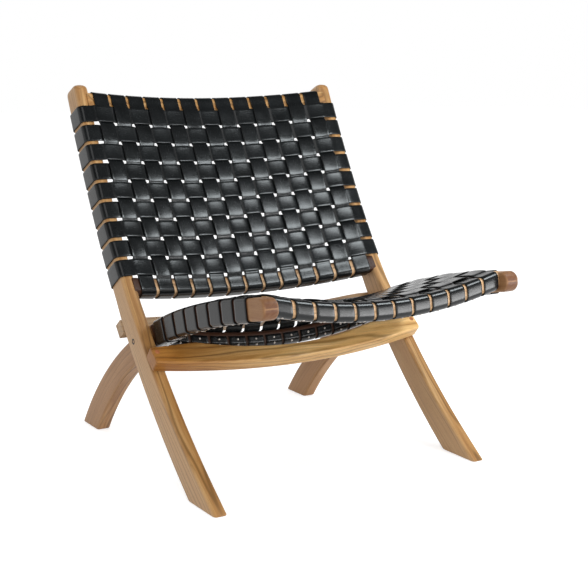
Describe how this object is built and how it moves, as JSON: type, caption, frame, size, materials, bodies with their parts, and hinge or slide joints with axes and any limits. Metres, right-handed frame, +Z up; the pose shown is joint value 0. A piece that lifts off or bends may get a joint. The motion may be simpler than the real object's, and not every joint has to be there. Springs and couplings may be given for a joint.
{
  "type": "lounge chair",
  "caption": "Low folding lounge chair: curved crossed hardwood side boards, joined by scooped cross rails, carry a seat and a back woven from flat black leather straps.",
  "frame": {"origin": "on the floor, under the middle of the chair's bounding box", "axes": "+Z up, -Y towards the front of the chair, where the feet of the sitter go, +X to the right for someone who faces the chair"},
  "size_m": [0.6258, 0.7448, 0.7257],
  "materials": {
    "teak": "oiled, satin",
    "dowel_wood": "oiled end grain",
    "black_leather": "smooth saddle leather, satin",
    "dark_steel": "darkened"
  },
  "bodies": {
    "back_frame": {"stile_left": "teak", "stile_right": "teak", "back_top_rail": "teak", "back_bottom_rail": "teak", "apron_rail": "teak", "stop_rail": "teak", "apron_dowel_left": "dowel_wood", "apron_dowel_right": "dowel_wood", "pivot_bolt_left": "dark_steel", "pivot_bolt_right": "dark_steel", "cap_nut_left": "dark_steel", "cap_nut_right": "dark_steel", "spacer_left": "dark_steel", "spacer_right": "dark_steel", "back_strap_v01": "black_leather", "back_strap_v02": "black_leather", "back_strap_v03": "black_leather", "back_strap_v04": "black_leather", "back_strap_v05": "black_leather", "back_strap_v06": "black_leather", "back_strap_v07": "black_leather", "back_strap_v08": "black_leather", "back_strap_v09": "black_leather", "back_strap_v10": "black_leather", "back_strap_v11": "black_leather", "back_strap_v12": "black_leather", "back_strap_v13": "black_leather", "back_strap_h01": "black_leather", "back_strap_h02": "black_leather", "back_strap_h03": "black_leather", "back_strap_h04": "black_leather", "back_strap_h05": "black_leather", "back_strap_h06": "black_leather", "back_strap_h07": "black_leather", "back_strap_h08": "black_leather", "back_strap_h09": "black_leather"},
    "seat_frame": {"seat_board_left": "teak", "seat_board_right": "teak", "seat_front_rail": "teak", "seat_rear_rail": "teak", "seat_strap_long_01": "black_leather", "seat_strap_long_02": "black_leather", "seat_strap_long_03": "black_leather", "seat_strap_long_04": "black_leather", "seat_strap_long_05": "black_leather", "seat_strap_long_06": "black_leather", "seat_strap_long_07": "black_leather", "seat_strap_long_08": "black_leather", "seat_strap_long_09": "black_leather", "seat_strap_long_10": "black_leather", "seat_strap_long_11": "black_leather", "seat_strap_long_12": "black_leather", "seat_strap_cross_01": "black_leather", "seat_strap_cross_02": "black_leather", "seat_strap_cross_03": "black_leather", "seat_strap_cross_04": "black_leather", "seat_strap_cross_05": "black_leather", "seat_strap_cross_06": "black_leather", "seat_strap_cross_07": "black_leather", "seat_strap_cross_08": "black_leather"}
  },
  "joints": [
    {"name": "fold", "type": "hinge", "parent": "back_frame", "child": "seat_frame", "pos_m": [0, 0.05294, 0.2499], "axis": [-1, 0, 0], "range_deg": [0, 66]}
  ]
}
